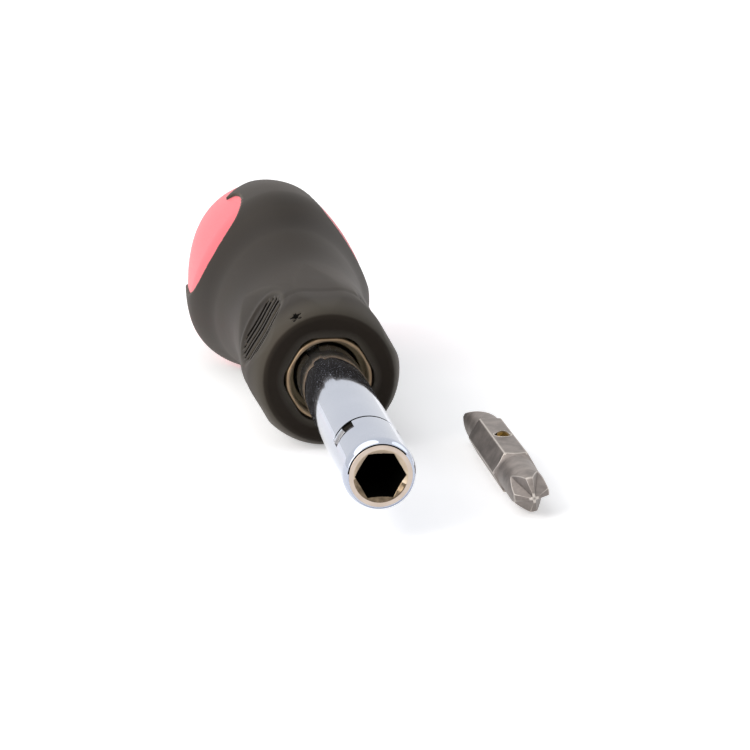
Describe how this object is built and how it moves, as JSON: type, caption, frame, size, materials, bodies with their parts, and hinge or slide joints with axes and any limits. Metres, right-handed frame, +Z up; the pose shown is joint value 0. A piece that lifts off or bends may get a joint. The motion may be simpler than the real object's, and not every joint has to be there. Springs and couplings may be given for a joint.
{
  "type": "screwdriver",
  "caption": "Multi-bit screwdriver: rubber-gripped plastic handle, hexagonal steel nose sleeve, pull-out chrome barrel with hex sockets, and a loose double-ended bit with flat and cross tips.",
  "frame": {"origin": "centre of the bounding box's bottom face, on the table the driver lies on", "axes": "+Z up from the table, +Y from the barrel's tip towards the handle's butt, +X towards the side where the loose bit lies"},
  "size_m": [0.048, 0.1638, 0.0355],
  "materials": {
    "grip_rubber": "matte soft-touch",
    "core_plastic": "satin moulded red",
    "sleeve_steel": "yellow zinc plated",
    "barrel_chrome": "polished chrome",
    "spring_steel": "dark spring steel",
    "bit_steel": "satin blasted tool steel",
    "ball_steel": "polished ball"
  },
  "bodies": {
    "handle": {"grip": "grip_rubber", "handle_core": "core_plastic", "nose_sleeve": "sleeve_steel", "barrel_snap_ring": "spring_steel"},
    "barrel": {"barrel": "barrel_chrome", "bit_ring_front": "spring_steel", "bit_ring_back": "spring_steel", "stored_bit": "bit_steel", "stored_bit_ball": "ball_steel", "stored_bit_spring": "spring_steel"},
    "loose_bit": {"loose_bit": "bit_steel", "loose_bit_spring": "spring_steel"},
    "detent_ball": {"loose_bit_ball": "ball_steel"}
  },
  "joints": [
    {"name": "barrel_pull", "type": "slide", "parent": "handle", "child": "barrel", "axis": [0, -0.9985, -0.0556], "range_m": [0, 0.058]},
    {"name": "loose_bit_lift", "type": "slide", "parent": "handle", "child": "loose_bit", "axis": [0, 0, 1], "range_m": [0, 0.06]},
    {"name": "detent_press", "type": "slide", "parent": "loose_bit", "child": "detent_ball", "axis": [0, 0, -1], "range_m": [0, 0.0005], "stiffness_N_per_m": 800, "deforming": ["loose_bit_spring"]}
  ]
}
